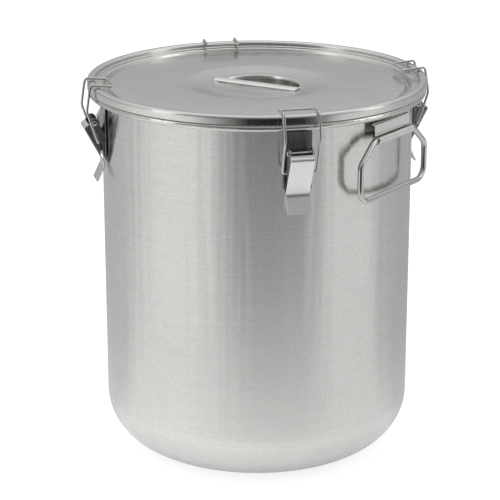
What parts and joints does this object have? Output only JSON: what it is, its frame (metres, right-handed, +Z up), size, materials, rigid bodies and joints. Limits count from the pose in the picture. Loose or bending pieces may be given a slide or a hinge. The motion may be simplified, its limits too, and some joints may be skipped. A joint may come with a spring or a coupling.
{
  "type": "milk can",
  "caption": "Cylindrical stainless steel milk can with a flat recessed lid clamped by toggle latches, and swing handles on its sides.",
  "frame": {"origin": "middle of the flat base, on the can's axis", "axes": "+Z up along the can's axis, side handles on +X and -X, +Y across them"},
  "size_m": [0.414, 0.414, 0.471],
  "materials": {
    "satin_steel": "satin, brushed round the can",
    "polished_steel": "bright polished stainless wire and pressings",
    "rubber_seal": "pale food-grade rubber"
  },
  "bodies": {
    "can": {"can_wall": "satin_steel", "rim_wire": "polished_steel", "bottom_pan": "satin_steel", "latch_base_front_right": "satin_steel", "latch_base_back_right": "satin_steel", "latch_base_back_left": "satin_steel", "latch_base_front_left": "satin_steel", "latch_pin_front_right": "polished_steel", "latch_pin_back_right": "polished_steel", "latch_pin_back_left": "polished_steel", "latch_pin_front_left": "polished_steel", "handle_bracket_right": "satin_steel", "handle_bracket_left": "satin_steel"},
    "lid": {"lid_shell": "satin_steel", "lid_gasket": "rubber_seal", "lid_grip": "polished_steel"},
    "lever_front_right": {"latch_lever_front_right": "polished_steel"},
    "bail_front_right": {"latch_bail_front_right": "polished_steel"},
    "lever_back_right": {"latch_lever_back_right": "polished_steel"},
    "bail_back_right": {"latch_bail_back_right": "polished_steel"},
    "lever_back_left": {"latch_lever_back_left": "polished_steel"},
    "bail_back_left": {"latch_bail_back_left": "polished_steel"},
    "lever_front_left": {"latch_lever_front_left": "polished_steel"},
    "bail_front_left": {"latch_bail_front_left": "polished_steel"},
    "handle_right": {"handle_bail_right": "polished_steel"},
    "handle_left": {"handle_bail_left": "polished_steel"}
  },
  "joints": [
    {"name": "lid_lift", "type": "slide", "parent": "can", "child": "lid", "axis": [0, 0, 1], "range_m": [0, 0.3]},
    {"name": "lever_front_right_swing", "type": "hinge", "parent": "can", "child": "lever_front_right", "pos_m": [0.15589, -0.13081, 0.422], "axis": [-0.6428, -0.766, 0], "range_deg": [0, 115]},
    {"name": "bail_front_right_swing", "type": "hinge", "parent": "lever_front_right", "child": "bail_front_right", "pos_m": [0.15367, -0.12894, 0.3985], "axis": [-0.6428, -0.766, 0], "range_deg": [-145, 0]},
    {"name": "lever_back_right_swing", "type": "hinge", "parent": "can", "child": "lever_back_right", "pos_m": [0.13081, 0.15589, 0.422], "axis": [0.766, -0.6428, 0], "range_deg": [0, 115]},
    {"name": "bail_back_right_swing", "type": "hinge", "parent": "lever_back_right", "child": "bail_back_right", "pos_m": [0.12894, 0.15367, 0.3985], "axis": [0.766, -0.6428, 0], "range_deg": [-145, 0]},
    {"name": "lever_back_left_swing", "type": "hinge", "parent": "can", "child": "lever_back_left", "pos_m": [-0.15589, 0.13081, 0.422], "axis": [0.6428, 0.766, 0], "range_deg": [0, 115]},
    {"name": "bail_back_left_swing", "type": "hinge", "parent": "lever_back_left", "child": "bail_back_left", "pos_m": [-0.15367, 0.12894, 0.3985], "axis": [0.6428, 0.766, 0], "range_deg": [-145, 0]},
    {"name": "lever_front_left_swing", "type": "hinge", "parent": "can", "child": "lever_front_left", "pos_m": [-0.13081, -0.15589, 0.422], "axis": [-0.766, 0.6428, 0], "range_deg": [0, 115]},
    {"name": "bail_front_left_swing", "type": "hinge", "parent": "lever_front_left", "child": "bail_front_left", "pos_m": [-0.12894, -0.15367, 0.3985], "axis": [-0.766, 0.6428, 0], "range_deg": [-145, 0]},
    {"name": "handle_right_swing", "type": "hinge", "parent": "can", "child": "handle_right", "pos_m": [0.1976, 0, 0.423], "axis": [0, -1, 0], "range_deg": [0, 100]},
    {"name": "handle_left_swing", "type": "hinge", "parent": "can", "child": "handle_left", "pos_m": [-0.1976, 0, 0.423], "axis": [0, 1, 0], "range_deg": [0, 100]}
  ],
  "couplings": [
    {"joint": "bail_front_right_swing", "follows": "lever_front_right_swing", "ratio": -1.25},
    {"joint": "bail_back_right_swing", "follows": "lever_back_right_swing", "ratio": -1.25},
    {"joint": "bail_back_left_swing", "follows": "lever_back_left_swing", "ratio": -1.25},
    {"joint": "bail_front_left_swing", "follows": "lever_front_left_swing", "ratio": -1.25}
  ]
}
